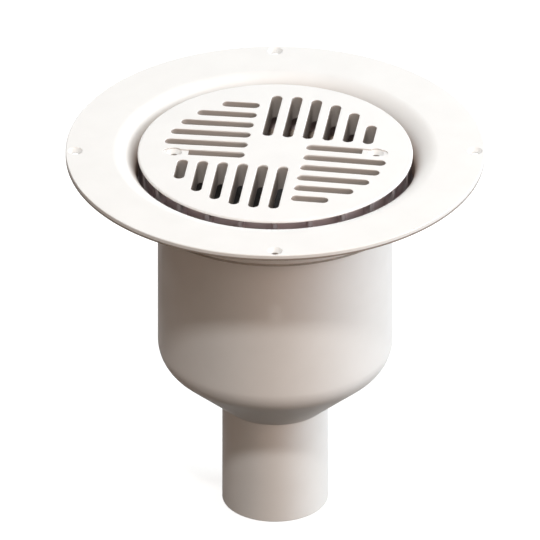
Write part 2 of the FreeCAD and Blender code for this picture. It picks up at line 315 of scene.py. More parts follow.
def put(name: str, skin: Skin, material: bpy.types.Material,
        replaced: Sequence[Part]) -> bpy.types.Object:
    """Puts a skin into the scene as one piece that stands for its nodes.

    Its points are moved into the frame, equal points are merged and its faces turned outwards.

    Args:
        name: the piece's name.
        skin: its surface.
        material: its finish.
        replaced: nodes that it stands for.

    Returns:
        The new object.
    """
    mesh = bpy.data.meshes.new(name)
    points = (skin.points + np.array([0.0, 0.0, FLOOR_LEVEL])) * MM
    corners = np.concatenate([skin.quads.ravel(), skin.tris.ravel()])
    sizes = np.repeat([4, 3], [len(skin.quads), len(skin.tris)])
    mesh.vertices.add(len(points))
    mesh.vertices.foreach_set("co", points.astype(np.float32).ravel())
    mesh.loops.add(len(corners))
    mesh.loops.foreach_set("vertex_index", corners.astype(np.int32))
    mesh.polygons.add(len(sizes))
    mesh.polygons.foreach_set("loop_start", (np.cumsum(sizes) - sizes).astype(np.int32))
    mesh.update(calc_edges=True)
    work = bmesh.new()
    work.from_mesh(mesh)
    bmesh.ops.remove_doubles(work, verts=work.verts, dist=WELD)
    bmesh.ops.recalc_face_normals(work, faces=work.faces)
    work.to_mesh(mesh)
    work.free()
    mesh.polygons.foreach_set("use_smooth", np.ones(len(mesh.polygons), bool))
    mesh.set_sharp_from_angle(angle=SHARP_ANGLE)
    mesh.materials.append(material)
    piece = bpy.data.objects.new(name, mesh)
    bpy.context.scene.collection.objects.link(piece)
    weighted = piece.modifiers.new("even_shading", "WEIGHTED_NORMAL")
    weighted.keep_sharp = True
    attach(piece, "root")
    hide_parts(*[part.value for part in replaced])
    log.info("%s: %d points, %d faces", name, len(mesh.vertices), len(mesh.polygons))
    return piece


def group_sockets(tree: bpy.types.NodeTree, side: str, kinds: dict[str, str]) -> None:
    """Adds named sockets to a node group.

    Args:
        tree: the node group.
        side: INPUT or OUTPUT.
        kinds: each socket's name and kind.
    """
    for name, kind in kinds.items():
        tree.interface.new_socket(name, in_out=side, socket_type="NodeSocket" + kind)


def moulded_surface_group() -> bpy.types.NodeTree:
    """Node group of a moulded plastic surface, built once.

    Slow noise shades the colour between two tones and shifts the roughness, as flow in the mould
    does. Fine noise is the mould's grain and slow noise its faint waves, and both lift the surface.

    Returns:
        The node group.
    """
    name = "moulded_surface"
    if name in bpy.data.node_groups:
        return bpy.data.node_groups[name]
    tree = bpy.data.node_groups.new(name, "ShaderNodeTree")
    group_sockets(tree, "INPUT", {
        "Light Tone": "Color", "Dark Tone": "Color", "Low Roughness": "Float",
        "High Roughness": "Float", "Grain Scale": "Float", "Grain Lift": "Float", "Wave Lift": "Float"})
    group_sockets(tree, "OUTPUT", {"Color": "Color", "Roughness": "Float", "Normal": "Vector"})
    nodes, link = tree.nodes, tree.links.new
    given = nodes.new("NodeGroupInput")
    result = nodes.new("NodeGroupOutput")
    place = nodes.new("ShaderNodeTexCoord")
    flow = nodes.new("ShaderNodeTexNoise")
    flow.inputs["Scale"].default_value = 34.0
    flow.inputs["Detail"].default_value = 3.0
    flow.inputs["Roughness"].default_value = 0.55
    spread = nodes.new("ShaderNodeMapRange")
    spread.inputs["From Min"].default_value = 0.32
    spread.inputs["From Max"].default_value = 0.68
    tone = nodes.new("ShaderNodeMix")
    tone.data_type = "RGBA"
    rough = nodes.new("ShaderNodeMix")
    rough.data_type = "FLOAT"
    grain = nodes.new("ShaderNodeTexNoise")
    grain.inputs["Detail"].default_value = 2.0
    grain_bump = nodes.new("ShaderNodeBump")
    wave = nodes.new("ShaderNodeTexNoise")
    wave.inputs["Scale"].default_value = 22.0
    wave.inputs["Detail"].default_value = 1.0
    wave_bump = nodes.new("ShaderNodeBump")
    for texture in (flow, grain, wave):
        link(place.outputs["Object"], texture.inputs["Vector"])
    link(given.outputs["Grain Scale"], grain.inputs["Scale"])
    link(flow.outputs["Fac"], spread.inputs["Value"])
    link(spread.outputs["Result"], tone.inputs["Factor"])
    link(given.outputs["Light Tone"], tone.inputs["A"])
    link(given.outputs["Dark Tone"], tone.inputs["B"])
    link(spread.outputs["Result"], rough.inputs["Factor"])
    link(given.outputs["Low Roughness"], rough.inputs["A"])
    link(given.outputs["High Roughness"], rough.inputs["B"])
    link(wave.outputs["Fac"], wave_bump.inputs["Height"])
    link(given.outputs["Wave Lift"], wave_bump.inputs["Distance"])
    link(grain.outputs["Fac"], grain_bump.inputs["Height"])
    link(given.outputs["Grain Lift"], grain_bump.inputs["Distance"])
    link(wave_bump.outputs["Normal"], grain_bump.inputs["Normal"])
    link(tone.outputs["Result"], result.inputs["Color"])
    link(rough.outputs["Result"], result.inputs["Roughness"])
    link(grain_bump.outputs["Normal"], result.inputs["Normal"])
    return tree


def painted_shading_mask_group() -> bpy.types.NodeTree:
    """Node group that marks walls below a face, within a radius of the axis, built once.

    It marks where painted shade and painted light go. The mark rises from 0 at the start level to 1
    at the full level and falls off at the radius. It leaves out faces that look up by more than the up
    limit, and, where it is asked for, faces that look away from the axis.

    Returns:
        The node group, with levels and radii in metres.
    """
    name = "recess_mask"
    if name in bpy.data.node_groups:
        return bpy.data.node_groups[name]
    tree = bpy.data.node_groups.new(name, "ShaderNodeTree")
    group_sockets(tree, "INPUT", {
        "Start Level": "Float", "Full Level": "Float", "Radius": "Float", "Outer Radius": "Float",
        "Up Limit": "Float", "Inner Side": "Float"})
    group_sockets(tree, "OUTPUT", {"Mask": "Float"})
    nodes, link = tree.nodes, tree.links.new
    given = nodes.new("NodeGroupInput")
    result = nodes.new("NodeGroupOutput")
    place = nodes.new("ShaderNodeTexCoord")
    split = nodes.new("ShaderNodeSeparateXYZ")
    facing = nodes.new("ShaderNodeSeparateXYZ")
    flat = nodes.new("ShaderNodeVectorMath")
    flat.operation = "MULTIPLY"
    flat.inputs[1].default_value = (1.0, 1.0, 0.0)
    length = nodes.new("ShaderNodeVectorMath")
    length.operation = "LENGTH"
    outward = nodes.new("ShaderNodeVectorMath")
    outward.operation = "DOT_PRODUCT"
    low, near = (nodes.new("ShaderNodeMapRange") for _ in range(2))
    level_side, turned_in, any_side, shares = (nodes.new("ShaderNodeMath") for _ in range(4))
    level_side.operation = turned_in.operation = "LESS_THAN"
    turned_in.inputs[1].default_value = 0.0
    any_side.operation = "MAXIMUM"
    shares.operation = "SUBTRACT"
    shares.inputs[0].default_value = 1.0
    for fall in (low, near):
        fall.interpolation_type = "SMOOTHSTEP"
        fall.inputs["To Min"].default_value = 1.0
        fall.inputs["To Max"].default_value = 0.0
    link(place.outputs["Object"], split.inputs["Vector"])
    link(place.outputs["Normal"], facing.inputs["Vector"])
    link(place.outputs["Object"], flat.inputs[0])
    link(flat.outputs["Vector"], length.inputs[0])
    link(flat.outputs["Vector"], outward.inputs[0])
    link(place.outputs["Normal"], outward.inputs[1])
    link(split.outputs["Z"], low.inputs["Value"])
    link(given.outputs["Full Level"], low.inputs["From Min"])
    link(given.outputs["Start Level"], low.inputs["From Max"])
    link(length.outputs["Value"], near.inputs["Value"])
    link(given.outputs["Radius"], near.inputs["From Min"])
    link(given.outputs["Outer Radius"], near.inputs["From Max"])
    link(facing.outputs["Z"], level_side.inputs[0])
    link(given.outputs["Up Limit"], level_side.inputs[1])
    link(outward.outputs["Value"], turned_in.inputs[0])
    link(given.outputs["Inner Side"], shares.inputs[1])
    link(turned_in.outputs["Value"], any_side.inputs[0])
    link(shares.outputs["Value"], any_side.inputs[1])
    mark = low.outputs["Result"]
    for share in (near.outputs["Result"], level_side.outputs["Value"], any_side.outputs["Value"]):
        both = nodes.new("ShaderNodeMath")
        both.operation = "MULTIPLY"
        link(mark, both.inputs[0])
        link(share, both.inputs[1])
        mark = both.outputs["Value"]
    link(mark, result.inputs["Mask"])
    return tree


@dataclass(frozen=True)
class PaintedShading:
    """Painted shade and painted light: a tone on faces below a level that stands in for the shade
    and the light of the walls about them.

    Levels and radii are in mm. The tone begins at start and is whole at full. It keeps within radius
    and is gone at outer, and where outer is the smaller one it keeps outside instead. up is the
    upward part of a face's normal from which the face is left out, and inner is 1 where only faces
    that look towards the axis take the tone.
    """

    tone: Tone
    start: float
    full: float
    radius: float
    outer: float
    up: float = 2.0
    inner: float = 0.0


@dataclass(frozen=True)
class Moulding:
    """Finish of a moulded plastic or rubber piece.

    light and dark are the two tones that the colour moves between, in linear light. rough holds the
    least and most roughness. The lifts are in metres, and specular is the shader's own level. The
    last field holds the tones of painted shade and painted light that are mixed over the colour.
    """

    name: str
    light: Tone
    dark: Tone
    rough: tuple[float, float]
    grain_scale: float
    grain_lift: float
    wave_lift: float
    specular: float = 0.5
    # Tones of painted shade and painted light, mixed over the moulded colour.
    painted_shading: tuple[PaintedShading, ...] = ()

    def build(self) -> bpy.types.Material:
        """Makes the material.

        Returns:
            The material, with the moulded surface group on its shader.
        """
        material = bpy.data.materials.new(self.name)
        material.use_nodes = True
        nodes, link = material.node_tree.nodes, material.node_tree.links.new
        shader = nodes["Principled BSDF"]
        shader.inputs["Specular IOR Level"].default_value = self.specular
        surface = nodes.new("ShaderNodeGroup")
        surface.node_tree = moulded_surface_group()
        for socket, value in {
                "Light Tone": (*self.light, 1.0), "Dark Tone": (*self.dark, 1.0),
                "Low Roughness": self.rough[0], "High Roughness": self.rough[1],
                "Grain Scale": self.grain_scale, "Grain Lift": self.grain_lift,
                "Wave Lift": self.wave_lift}.items():
            surface.inputs[socket].default_value = value
        colour = surface.outputs["Color"]
        # Painted shade and painted light go over the moulded colour.
        for painted_tone in self.painted_shading:
            colour = self.paint_shading(material, colour, painted_tone)
        link(colour, shader.inputs["Base Color"])
        link(surface.outputs["Roughness"], shader.inputs["Roughness"])
        link(surface.outputs["Normal"], shader.inputs["Normal"])
        return material

    def paint_shading(self, material: bpy.types.Material, colour: bpy.types.NodeSocket,
                     painted_tone: PaintedShading) -> bpy.types.NodeSocket:
        """Mixes one painted tone over a colour, in place of the shade and light about it.

        Args:
            material: the material to change.
            colour: the socket that puts out the colour so far.
            painted_tone: the painted tone and where it lies.

        Returns:
            The socket that puts out the mixed colour.
        """
        nodes, link = material.node_tree.nodes, material.node_tree.links.new
        mask = nodes.new("ShaderNodeGroup")
        mask.node_tree = painted_shading_mask_group()
        for socket, value in {
                "Start Level": (painted_tone.start + FLOOR_LEVEL) * MM,
                "Full Level": (painted_tone.full + FLOOR_LEVEL) * MM,
                "Radius": painted_tone.radius * MM, "Outer Radius": painted_tone.outer * MM,
                "Up Limit": painted_tone.up, "Inner Side": painted_tone.inner}.items():
            mask.inputs[socket].default_value = value
        tone = nodes.new("ShaderNodeMix")
        tone.data_type = "RGBA"
        tone.inputs["B"].default_value = (*painted_tone.tone, 1.0)
        link(mask.outputs["Mask"], tone.inputs["Factor"])
        link(colour, tone.inputs["A"])
        return tone.outputs["Result"]


@dataclass(frozen=True)
class TurnedBrass:
    """Finish of the threaded sleeves: brass with fine turning rings and faint staining."""

    name: str = "turned_brass"
    clean: Tone = (0.62, 0.42, 0.16)
    stained: Tone = (0.44, 0.28, 0.10)

    def build(self) -> bpy.types.Material:
        """Makes the material.

        Returns:
            The material: noise for the stains, and bands along Z for the rings.
        """
        material = bpy.data.materials.new(self.name)
        material.use_nodes = True
        nodes, link = material.node_tree.nodes, material.node_tree.links.new
        shader = nodes["Principled BSDF"]
        shader.inputs["Metallic"].default_value = 1.0
        place = nodes.new("ShaderNodeTexCoord")
        stain = nodes.new("ShaderNodeTexNoise")
        stain.inputs["Scale"].default_value = 420.0
        tone = nodes.new("ShaderNodeMix")
        tone.data_type = "RGBA"
        tone.inputs["A"].default_value = (*self.clean, 1.0)
        tone.inputs["B"].default_value = (*self.stained, 1.0)
        rough = nodes.new("ShaderNodeMapRange")
        rough.inputs["To Min"].default_value = 0.22
        rough.inputs["To Max"].default_value = 0.42
        rings = nodes.new("ShaderNodeTexWave")
        rings.bands_direction = "Z"
        rings.inputs["Scale"].default_value = 1500.0
        bump = nodes.new("ShaderNodeBump")
        bump.inputs["Distance"].default_value = 0.00002
        link(place.outputs["Object"], stain.inputs["Vector"])
        link(place.outputs["Object"], rings.inputs["Vector"])
        link(stain.outputs["Fac"], tone.inputs["Factor"])
        link(stain.outputs["Fac"], rough.inputs["Value"])
        link(rings.outputs["Fac"], bump.inputs["Height"])
        link(tone.outputs["Result"], shader.inputs["Base Color"])
        link(rough.outputs["Result"], shader.inputs["Roughness"])
        link(bump.outputs["Normal"], shader.inputs["Normal"])
        return material


# Painted shade: warm and darker down the throat's lip, on faces that look towards the axis.
THROAT_PAINTED_SHADE = PaintedShading((0.65, 0.54, 0.455), -1.5, -15.0, 116.0, 118.0, inner=1.0)
# Painted shade: a dark line at the groove and foot of the collar under the flange.
COLLAR_GROOVE_PAINTED_SHADE = PaintedShading((0.54, 0.51, 0.48), -33.9, -34.6, 99.0, 97.0)
# Painted shade: a dark line along the lower edge of the flange's rim.
RIM_PAINTED_SHADE = PaintedShading((0.3, 0.26, 0.23), -2.5, -3.0, 147.4, 147.0)
# Painted shade: the slots' walls, darker from just below the grate's top.
SLOT_WALL_PAINTED_SHADE = PaintedShading((0.45, 0.41, 0.385), -0.5, -2.0, 84.0, 88.0, up=0.5)
# Painted light: the clamping ring's wall between its posts, paler than the ring.
RING_WALL_PAINTED_LIGHT = PaintedShading((0.64, 0.55, 0.58), 10.0, 5.0, 91.0, 96.0)

BODY_WHITE = Moulding("white_body_plastic", (0.87, 0.868, 0.862), (0.845, 0.842, 0.835),
                      (0.5, 0.6), 2200.0, 0.000004, 0.00005, 0.06, (THROAT_PAINTED_SHADE, COLLAR_GROOVE_PAINTED_SHADE, RIM_PAINTED_SHADE))
GRATE_WHITE = Moulding("white_grate_plastic", (0.875, 0.874, 0.87), (0.85, 0.849, 0.844),
                       (0.48, 0.58), 2200.0, 0.000004, 0.00004, 0.1, (SLOT_WALL_PAINTED_SHADE,))
RING_GREY = Moulding("grey_ring_plastic", (0.29, 0.256, 0.268), (0.26, 0.232, 0.243),
                     (0.5, 0.6), 2000.0, 0.000006, 0.00004, 0.15, (RING_WALL_PAINTED_LIGHT,))
TRAP_GREY = Moulding("dark_trap_plastic", (0.09, 0.08, 0.072), (0.075, 0.067, 0.06),
                     (0.42, 0.56), 1500.0, 0.000012, 0.00004)
SEAL_BLACK = Moulding("black_seal_rubber", (0.006, 0.006, 0.006), (0.004, 0.004, 0.004),
                      (0.55, 0.75), 1200.0, 0.000015, 0.00002, 0.3)
SLEEVE_BRASS = TurnedBrass()


@dataclass
class DrainBody:
    """Flange, throat, ledge, bowl, cone and spigot, moulded in one. Sizes are in mm.

    The flange has a turned-down rim, and the collar under it a groove above its foot.
    """

    wall: float = 2.5
    throat_r: float = 98.8
    flange_r: float = 148.5
    flange_t: float = 3.2
    flange_edge: float = 0.8
    rim_drop: float = 1.1
    rim_t: float = 3.3
    rim_round: float = 0.4
    lip_round: float = 17.2
    collar_root: float = 14.0
    collar_depth: float = 35.0
    collar_foot: float = 1.4
    foot_round: float = 0.5
    groove: float = 1.1
    groove_round: float = 0.1
    bore_r: float = 80.7
    bowl_depth: float = 152.0
    hip_round: float = 23.4
    cone_angle: float = math.radians(41.2)
    spigot_r: float = 37.5
    spigot_length: float = 79.4
    spigot_bevel: float = 0.8
    small_round: float = 1.0
    hole_count: int = 4
    hole_circle_r: float = 141.6
    hole_r: float = 2.45
    sink_r: float = 5.3
    sink_edge: float = 0.25
    rib_count: int = 6
    rib_turn: float = 30.0
    rib_reach: float = 3.0
    rib_t: float = 2.5
    rib_top: float = -60.0
    segments: int = 288
    hole_segments: int = 40
    top_spacing: float = 5.0
    under_spacing: float = 6.0

    @property
    def root_r(self) -> float:
        """Outer radius of the throat's wall."""
        return self.throat_r + self.wall

    @property
    def bowl_r(self) -> float:
        """Outer radius of the bowl."""
        return self.bore_r + self.wall

    @property
    def hip_z(self) -> float:
        """Height at which the bowl's outside and the cone would meet without their rounding."""
        return -self.bowl_depth - self.hip_round * math.tan((math.pi / 2 - self.cone_angle) / 2)

    @property
    def cone_z(self) -> float:
        """Height at which the cone and the spigot's outside would meet without their rounding."""
        return self.hip_z - (self.bowl_r - self.spigot_r) * math.tan(self.cone_angle)

    def outer_path(self) -> np.ndarray:
        """Path of the outside, from the flange's flat underside down to the spigot's end.

        Returns:
            Rows of (radius, height).
        """
        root, collar_z, half = self.root_r, -self.collar_depth, self.groove / 2
        end_z = self.cone_z - self.spigot_length
        return rounded_path([
            (root + self.collar_root, -self.flange_t, 0),
            (root, -self.flange_t, self.collar_root),
            (root, collar_z + half, self.groove_round),
            (root - self.groove, collar_z + half, self.groove_round),
            (root - self.groove, collar_z - half, self.groove_round),
            (root, collar_z - half, self.groove_round),
            (root, collar_z - self.collar_foot, self.foot_round),
            (self.bowl_r, collar_z - self.collar_foot, self.small_round),
            (self.bowl_r, self.hip_z, self.hip_round),
            (self.spigot_r, self.cone_z, self.small_round),
            (self.spigot_r, end_z, self.spigot_bevel),
            (self.spigot_r - self.wall, end_z, 0),
        ])[1:]

    def inner_path(self) -> np.ndarray:
        """Path of the inside, from the spigot's end up to the flange's flat top.

        Returns:
            Rows of (radius, height).
        """
        slope, lift = math.tan(self.cone_angle), self.wall / math.cos(self.cone_angle)
        bore, ledge_z = self.spigot_r - self.wall, self.wall - self.collar_depth
        return rounded_path([
            (bore, self.cone_z - self.spigot_length, 0),
            (bore, self.hip_z - (self.bowl_r - bore) * slope + lift, self.small_round + self.wall),
            (self.bore_r, self.hip_z - self.wall * slope + lift, self.hip_round - self.wall),
            (self.bore_r, ledge_z, self.small_round),
            (self.throat_r, ledge_z, self.small_round),
            (self.throat_r, 0, self.lip_round),
            (self.throat_r + self.lip_round, 0, 0),
        ])[:-1]

    def edge_path(self) -> np.ndarray:
        """Path of the flange's rounded edge, down its turned rim and up to its underside.

        Returns:
            Rows of (radius, height).
        """
        low, inner_r = -self.flange_t - self.rim_drop, self.flange_r - self.rim_t
        return rounded_path([(self.flange_r - self.flange_edge, 0, 0),
                             (self.flange_r, 0, self.flange_edge),
                             (self.flange_r, low, self.rim_round), (inner_r, low, self.rim_round),
                             (inner_r, -self.flange_t, 0)], step=0.2)[1:]

    def hole_path(self) -> np.ndarray:
        """Path of a fixing hole, from its softened mouth through the countersink to the underside."""
        drop = self.sink_r - self.hole_r
        return rounded_path([(self.sink_r + self.sink_edge, 0, 0), (self.sink_r, 0, self.sink_edge),
                             (self.hole_r, -drop, 0), (self.hole_r, -self.flange_t, 0)], step=0.08)

    def flat_face(self, outer_r: float, inner_r: float, hole_r: float, z: float,
                  spacing: float) -> Skin:
        """Flat ring of the flange with the outlines of the fixing holes in it.

        Args:
            outer_r: radius of its outer edge.
            inner_r: radius of its inner edge.
            hole_r: radius of the holes in it.
            z: its height.
            spacing: distance of the points in it.

        Returns:
            The flat surface.
        """
        loops = [circle(outer_r, self.segments), circle(inner_r, self.segments)]
        loops += [circle(hole_r, self.hole_segments, *place) for place in self.hole_places()]
        return filled(loops, level(z), spacing)

    def hole_places(self) -> np.ndarray:
        """Centres of the fixing holes, as rows of (x, y)."""
        angles = np.radians(np.arange(self.hole_count) * 360 / self.hole_count)
        return np.column_stack([np.cos(angles), np.sin(angles)]) * self.hole_circle_r

    def skin(self) -> Skin:
        """Whole moulding: flat faces of the flange, turned walls, fixing holes and the bowl's ribs.

        Returns:
            A closed surface, with the ribs let into it.
        """
        mouth_r = self.sink_r + self.sink_edge
        faces = [self.flat_face(self.flange_r - self.flange_edge, self.throat_r + self.lip_round,
                                mouth_r, 0.0, self.top_spacing),
                 self.flat_face(self.flange_r - self.rim_t, self.root_r + self.collar_root,
                                self.hole_r, -self.flange_t, self.under_spacing)]
        walls = [lathe(np.concatenate([self.outer_path(), self.inner_path()[1:]]), self.segments),
                 lathe(self.edge_path(), self.segments)]
        holes = [lathe(self.hole_path(), self.hole_segments, (float(x), float(y)))
                 for x, y in self.hole_places()]
        rib = slab((self.bore_r - self.rib_reach, -self.rib_t / 2, -self.bowl_depth),
                   (self.bore_r + self.wall / 2, self.rib_t / 2, self.rib_top))
        ribs = [rib.turned(self.rib_turn + i * 360 / self.rib_count) for i in range(self.rib_count)]
        return joined(faces + walls + holes + ribs)

    def build(self) -> bpy.types.Object:
        """Puts the moulding into the scene in place of its node."""
        return put("body_moulding", self.skin(), BODY_WHITE.build(), [Part.BODY])


@dataclass
class Opening:
    """A slot of the grate: its surface, its outline in the top and its outlines in the underside."""

    surface: Skin
    mouth: np.ndarray
    feet: list[np.ndarray]


@dataclass
class Grate:
    """Crowned plate with four blocks of round-ended slots and two screw places. Sizes are in mm.

    turn is the angle of the first block in degrees, and slot_fan is how much nearer to the middle
    each row of a block starts than the row before it.
    """

    radius: float = 97.5
    plate: float = 3.0
    crown: float = 1.4
    rim_round: float = 1.4
    rim_fall: float = 0.02
    turn: float = -7.5
    block_count: int = 4
    slot_count: int = 6
    slot_width: float = 7.6
    slot_pitch: float = 14.36
    slot_first: float = -8.65
    slot_start: float = 24.6
    slot_fan: float = 0.27
    reach_r: float = 76.0
    depth: float = 18.7
    slot_wall: float = 2.0
    edge: float = 0.4
    foot_edge: float = 0.4
    rib_t: float = 2.0
    rib_depth: float = 14.0
    locator_r: float = 86.8
    locator_depth: float = 7.0
    let_in: float = 0.4
    screw_x: float = 71.0
    screw_r: float = 2.75
    sink_r: float = 5.5
    channel_x: float = 61.0
    channel_depth: float = 1.0
    boss_r: float = 6.6
    boss_edge: float = 0.3
    boss_depth: float = 8.0
    segments: int = 256
    end_steps: int = 14
    edge_steps: int = 5
    closing_steps: int = 6
    top_spacing: float = 4.0
    under_spacing: float = 8.0
    channel_spacing: float = 1.5

    def top(self, x: np.ndarray, y: np.ndarray) -> np.ndarray:
        """Height of the crowned top: a sphere through the centre, the crown's drop below at the rim."""
        sphere = (self.radius ** 2 + self.crown ** 2) / (2 * self.crown)
        return np.sqrt(sphere ** 2 - np.square(x) - np.square(y)) - sphere

    def rows(self) -> list[tuple[float, tuple[float, float]]]:
        """Rows of one block, each of which ends on the circle of the slots' reach.

        Returns:
            Each row's offset and the two ends of its centre line.
        """
        i = np.arange(self.slot_count)
        offset = self.slot_first + i * self.slot_pitch
        start, end = self.slot_start - i * self.slot_fan, np.sqrt(self.reach_r ** 2 - offset ** 2)
        return [(-o, span) for o, span in zip(offset.tolist(), zip(start.tolist(), end.tolist()))]

    def slot_outline(self, span: tuple[float, float], y: float, grown: float) -> np.ndarray:
        """Round-ended outline whose ends turn about its centre line's ends, grown outwards."""
        half = self.slot_width / 2 + grown
        return np.concatenate([arc(span[0], y, half, 90, 270, 2 * self.end_steps),
                               arc(span[1], y, half, -90, 90, 2 * self.end_steps)])

    def wall_rows(self) -> list[tuple[float, float]]:
        """Rows of a slot's wall, from the foot of the bore round to the top of the outer side.

        Returns:
            Each row's growth and height.
        """
        path = rounded_path([(0, 0, 0), (0, -self.depth, self.foot_edge),
                             (self.slot_wall, -self.depth, self.foot_edge),
                             (self.slot_wall, -self.plate, 0)], step=0.3)
        return [(float(grown), float(z)) for grown, z in path[1:]]

    def plain_slot(self, span: tuple[float, float], y: float) -> Opening:
        """Slot that goes right through, with a rounded upper edge and a wall round it.

        Its surface runs from the crowned top down the bore and up the outside to the underside.

        Args:
            span: the two ends of its centre line.
            y: its offset in the block.

        Returns:
            The slot.
        """
        rows = []
        for grown, drop in quarter_round(self.edge, self.edge_steps):
            outline = self.slot_outline(span, y, grown)
            rows.append(raised(outline, self.top(*outline.T) - drop))
        rows += [raised(self.slot_outline(span, y, grown), z) for grown, z in self.wall_rows()]
        return Opening(loft(rows), self.slot_outline(span, y, self.edge),
                       [self.slot_outline(span, y, self.slot_wall)])

    def meeting_angle(self, grown: float = 0.0) -> float:
        """Angle in degrees at which the circle round the screw meets the slot's sides."""
        return math.degrees(math.asin((self.slot_width / 2 + grown) / (self.sink_r + grown)))

    def keyhole(self, x_end: float, y: float, grown: float) -> tuple[np.ndarray, np.ndarray]:
        """Outline of the screw row: a round-ended slot joined to a circle about the screw.

        The circle meets the slot's sides where their distances from the centre line agree.

        Args:
            x_end: far end of the slot's centre line.
            y: its offset in the block.
            grown: how far the outline is moved outwards.

        Returns:
            The part before the channel, from its +Y side to its -Y side, and the part round the
            channel, from its -Y side to its +Y side.
        """
        half, ring = self.slot_width / 2 + grown, self.sink_r + grown
        lean, n = self.meeting_angle(grown), self.end_steps
        near = np.concatenate([
            [[self.channel_x, y + half]],
            arc(self.slot_start, y, half, 90, 270, 2 * n),
            [[self.channel_x, y - half]],
        ])
        far = np.concatenate([
            [[self.channel_x, y - half]],
            arc(self.screw_x, y, ring, -180 + lean, -lean, 2 * n),
            arc(x_end, y, half, -90, 90, 2 * n),
            arc(self.screw_x, y, ring, lean, 180 - lean, 2 * n),
            [[self.channel_x, y + half]],
        ])
        return near, far

    def screw_slot(self, x_end: float, y: float) -> Opening:
        """Slot that closes into a channel with a countersunk hole and a boss under it.

        Its bore ends square below the channel's floor, so the bore's outline has the floor's two
        corners twice: once where the slot's rounded edge ends and once on the floor.

        Args:
            x_end: far end of the channel's centre line.
            y: its offset in the block.

        Returns:
            The slot, whose outlines in the underside are those of its wall and of its boss.
        """
        floor = float(self.top(np.array(self.screw_x), np.array(y))) - self.channel_depth
        rounds = quarter_round(self.edge, self.edge_steps)
        near, far = zip(*(self.keyhole(x_end, y, grown) for grown, _ in rounds))
        near_rows = [raised(o, self.top(*o.T) - drop) for o, (_, drop) in zip(near, rounds)]
        far_rows = [raised(o, self.top(*o.T) - drop) for o, (_, drop) in zip(far, rounds)]
        closing = np.linspace(near[-1][-1], near[-1][0], self.closing_steps + 1)[1:-1]
        bore = np.concatenate([near[-1], near[-1][-1:], closing, near[-1][:1]])
        start = np.concatenate([near_rows[-1][:, 2], np.full(len(closing) + 2, floor)])
        rows = [raised(bore, start)]
        rows += [raised(self.bored_outline(bore, y, grown), z) for grown, z in self.wall_rows()]
        hole = self.screw_hole(y, floor)
        surface = joined([loft(near_rows, closed=False),
                          loft(far_rows + [raised(far[-1], floor)], closed=False), loft(rows),
                          *self.channel_floor(x_end, y, floor, closing), hole])
        foot = self.bored_outline(bore, y, self.slot_wall)
        apart = np.linalg.norm(foot - np.roll(foot, 1, axis=0), axis=1) > TOUCH
        mouth = np.concatenate([near[0], far[0][1:-1]])
        return Opening(surface, mouth, [foot[apart], hole.points[-6 * self.end_steps:, :2]])

    def bored_outline(self, bore: np.ndarray, y: float, grown: float) -> np.ndarray:
        """The square-ended bore's outline, grown outwards.

        Points of the round end move away from its centre, those of the sides and of the square end
        move straight out, and the square end's points spread with the sides.

        Args:
            bore: closed outline of the bore, as rows of (x, y).
            y: offset of its centre line in the block.
            grown: how far it is moved outwards.

        Returns:
            The grown outline, row for row.
        """
        half = self.slot_width / 2
        x, v = bore[:, 0], bore[:, 1] - y
        on_round, at_end = x < self.slot_start, x > self.channel_x - TOUCH
        radius = np.hypot(x - self.slot_start, v)
        scale = (radius + grown) / np.maximum(radius, TOUCH)
        spread = np.where(np.abs(v) > half - TOUCH, np.sign(v) * (half + grown),
                          v * (half + grown) / half)
        out_x = np.where(on_round, self.slot_start + (x - self.slot_start) * scale, x)
        out_x = np.where(at_end, self.channel_x + grown, out_x)
        return np.column_stack([out_x, y + np.where(on_round, v * scale, spread)])

    def channel_floor(self, x_end: float, y: float, floor: float, closing: np.ndarray) -> list[Skin]:
        """Flat floor of the channel on both sides of the countersink.

        Args:
            x_end: far end of the channel's centre line.
            y: its offset in the block.
            floor: its height.
            closing: points of the straight edge towards the slot.

        Returns:
            The two flat pieces.
        """
        half, lean, n = self.slot_width / 2, self.meeting_angle(), self.end_steps
        before = np.concatenate([
            [[self.channel_x, y + half]], closing[::-1], [[self.channel_x, y - half]],
            arc(self.screw_x, y, self.sink_r, -180 + lean, -180 - lean, n),
        ])
        after = np.concatenate([
            arc(self.screw_x, y, self.sink_r, lean, -lean, n),
            arc(x_end, y, half, -90, 90, 2 * n),
        ])
        return [filled([outline], level(floor), self.channel_spacing) for outline in (before, after)]

    def screw_hole(self, y: float, floor: float) -> Skin:
        """Countersink, shank hole and boss: the cone falls as much as it narrows.

        Its outline has points where the channel's floor and walls meet the countersink.

        Args:
            y: offset of the screw row in the block.
            floor: height of the channel's floor.

        Returns:
            The surface. Its last row of points is the boss's outline in the underside.
        """
        lean, n = self.meeting_angle(), self.end_steps
        quarters = ((-180 + lean, -lean, 2 * n), (-lean, lean, n), (lean, 180 - lean, 2 * n),
                    (180 - lean, 180 + lean, n))
        loop = np.concatenate([arc(0, 0, 1.0, *quarter)[:-1] for quarter in quarters])
        path = [(self.sink_r, floor), (self.screw_r, floor - self.sink_r + self.screw_r),
                (self.screw_r, -self.boss_depth), (self.boss_r - self.boss_edge, -self.boss_depth),
                (self.boss_r, self.boss_edge - self.boss_depth), (self.boss_r, -self.plate)]
        centre = np.array([self.screw_x, y])
        return loft([raised(loop * r + centre, z) for r, z in path])

    def rim_path(self) -> np.ndarray:
        """Path of the rounded rim, from the crowned top to the underside.

        Returns:
            Rows of (radius, height).
        """
        inner = self.radius - self.rim_round
        edge_z = float(self.top(np.array(inner), np.array(0.0)))
        return rounded_path([(inner, edge_z, 0),
                             (self.radius, edge_z - self.rim_fall, self.rim_round - self.rim_fall),
                             (self.radius, -self.plate, 0)], step=0.2)

